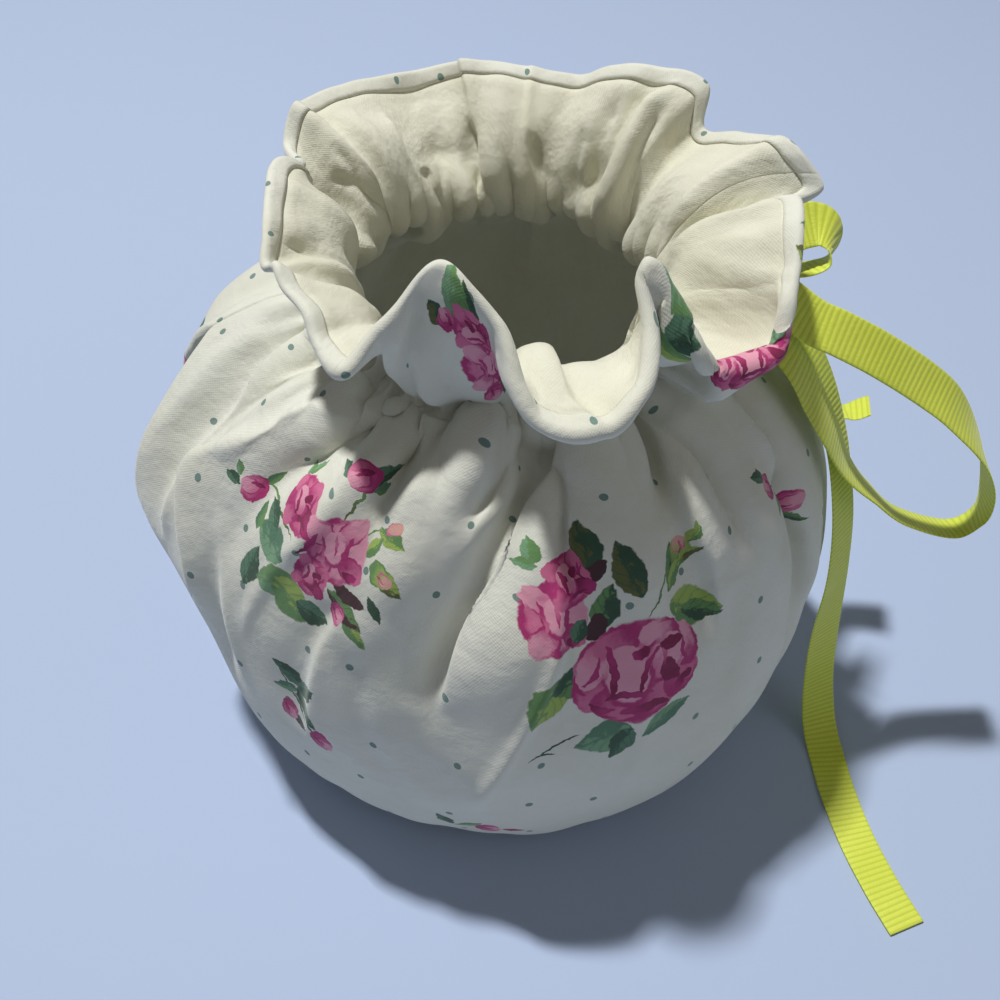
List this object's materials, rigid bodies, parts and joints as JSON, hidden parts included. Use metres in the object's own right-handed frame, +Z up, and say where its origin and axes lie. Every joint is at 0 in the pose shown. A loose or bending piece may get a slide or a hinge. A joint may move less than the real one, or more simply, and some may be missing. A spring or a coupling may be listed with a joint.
{
  "type": "tea cosy",
  "caption": "Rounded drawstring tea cosy with a gathered neck and a waved, lined frill, a spout hole, a handle slit and a tied ribbon.",
  "frame": {"origin": "on the table that the hem rests on, under the middle of the box round the cosy and its ribbon; the neck's axis stands 13.6 mm towards -X and 7.4 mm towards +Y of it", "axes": "+Z up; the spout hole faces -X, the handle slit and the ribbon are on the +X side, and the front panel faces -Y"},
  "size_m": [0.2088, 0.1648, 0.1735],
  "materials": {
    "printed_cotton": "matt white cotton printed with pink roses, green leaves and small grey-green dots",
    "cream_lining": "matt plain cream cotton",
    "grosgrain_ribbon": "yellow-green ribbed ribbon with a slight sheen"
  },
  "bodies": {
    "root": {"cover_front": "printed_cotton", "cover_back": "printed_cotton", "lining_front": "cream_lining", "lining_back": "cream_lining", "ribbon_front_loop": "grosgrain_ribbon", "ribbon_front_tail": "grosgrain_ribbon", "ribbon_back_loop": "grosgrain_ribbon", "ribbon_back_tail": "grosgrain_ribbon", "ribbon_knot": "grosgrain_ribbon"}
  },
  "joints": []
}
